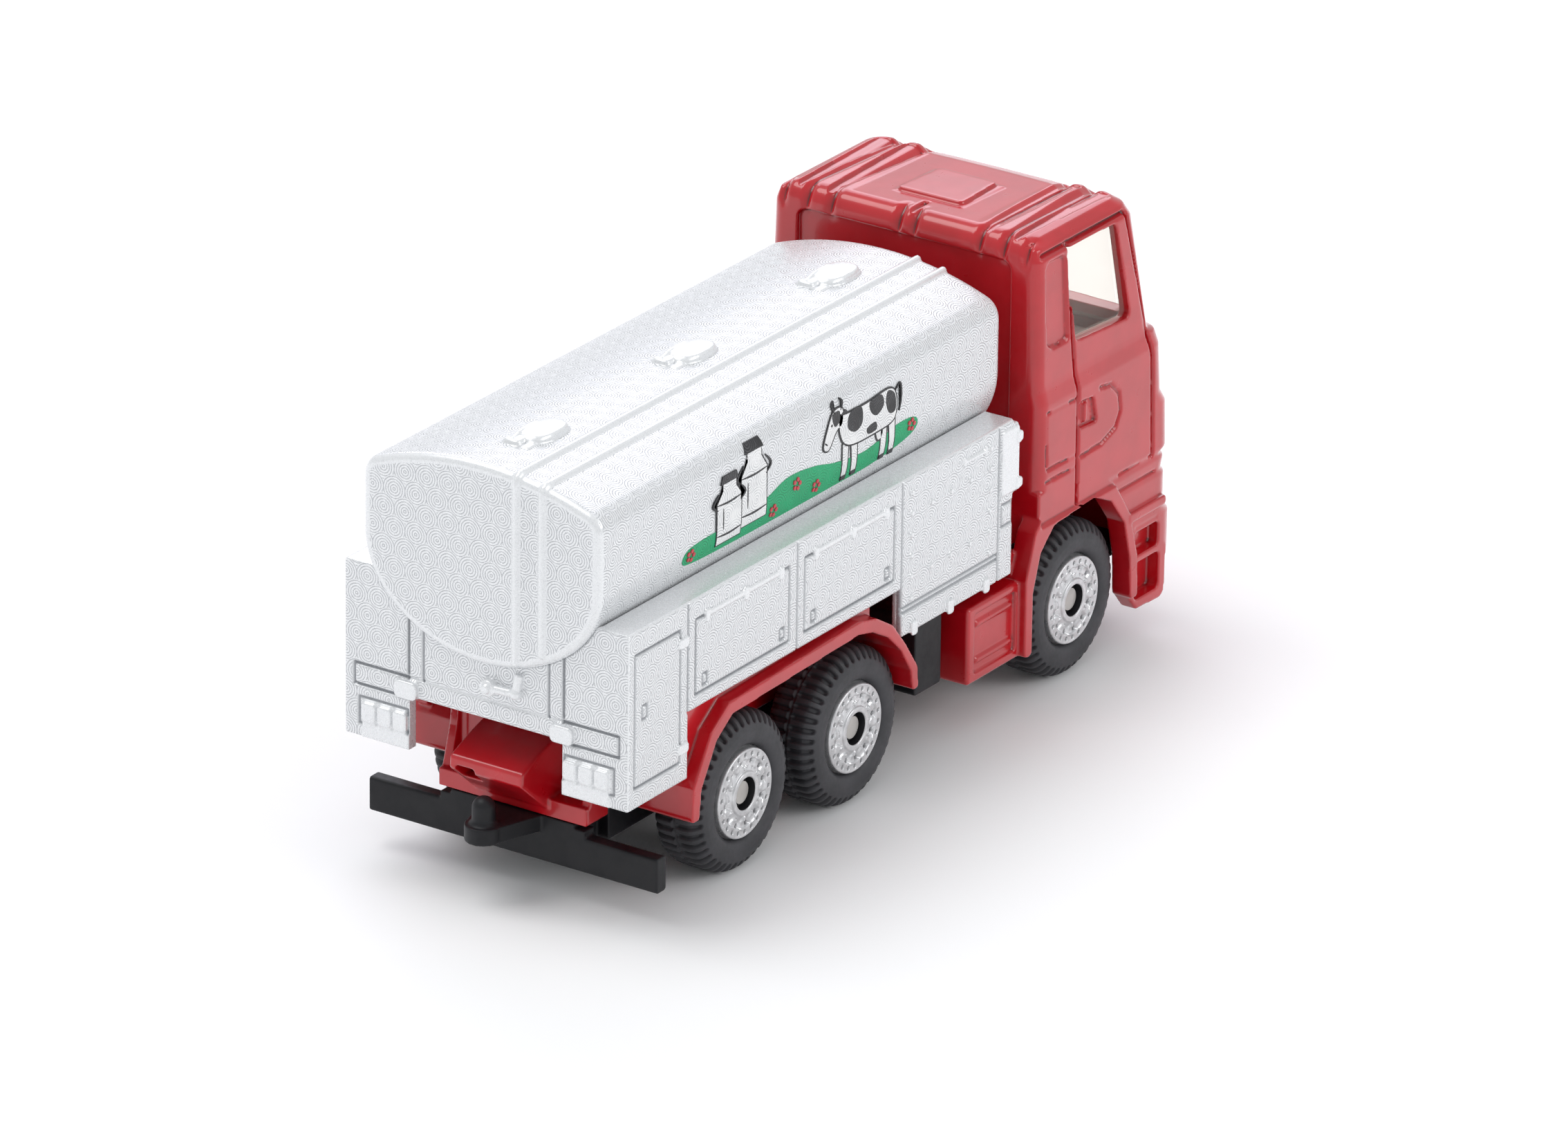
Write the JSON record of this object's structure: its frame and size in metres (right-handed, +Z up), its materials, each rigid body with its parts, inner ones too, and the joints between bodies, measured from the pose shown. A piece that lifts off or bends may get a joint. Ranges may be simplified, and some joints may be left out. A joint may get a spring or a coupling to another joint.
{
  "type": "toy tanker truck",
  "caption": "Die-cast toy milk tanker: cab over a chassis, rounded tank set into a locker body, rolling wheels on through axles and a tow pin behind.",
  "frame": {"origin": "middle of the footprint, on the floor under the wheels", "axes": "+X forward along the truck, +Y to the left, +Z up"},
  "size_m": [0.0872, 0.0298, 0.0429],
  "materials": {
    "red_paint": "gloss enamel",
    "silver_plastic": "silver moulded, satin",
    "black_plastic": "moulded, semi-matt",
    "grey_plastic": "moulded",
    "clear_glazing": "clear styrene, cream tint",
    "tyre_rubber": "soft vinyl",
    "axle_steel": "plain",
    "rivet_metal": "spun over, painted"
  },
  "bodies": {
    "vehicle": {"cab_chassis_casting": "red_paint", "window_insert": "clear_glazing", "cab_interior": "grey_plastic", "base_plate": "black_plastic", "tank_shell": "silver_plastic", "locker_body": "silver_plastic", "front_rivet": "rivet_metal", "rear_rivet": "rivet_metal"},
    "rear_wheelset": {"rear_axle": "axle_steel", "rear_right_tyre": "tyre_rubber", "rear_right_rim": "silver_plastic", "rear_left_tyre": "tyre_rubber", "rear_left_rim": "silver_plastic"},
    "middle_wheelset": {"middle_axle": "axle_steel", "middle_right_tyre": "tyre_rubber", "middle_right_rim": "silver_plastic", "middle_left_tyre": "tyre_rubber", "middle_left_rim": "silver_plastic"},
    "front_wheelset": {"front_axle": "axle_steel", "front_right_tyre": "tyre_rubber", "front_right_rim": "silver_plastic", "front_left_tyre": "tyre_rubber", "front_left_rim": "silver_plastic"}
  },
  "joints": [
    {"name": "rear_axle_spin", "type": "hinge", "parent": "vehicle", "child": "rear_wheelset", "pos_m": [-0.02357, 0, 0.00714], "axis": [0, 1, 0], "continuous": true},
    {"name": "middle_axle_spin", "type": "hinge", "parent": "vehicle", "child": "middle_wheelset", "pos_m": [-0.00692, 0, 0.00714], "axis": [0, 1, 0], "continuous": true},
    {"name": "front_axle_spin", "type": "hinge", "parent": "vehicle", "child": "front_wheelset", "pos_m": [0.02722, 0, 0.00714], "axis": [0, 1, 0], "continuous": true}
  ]
}
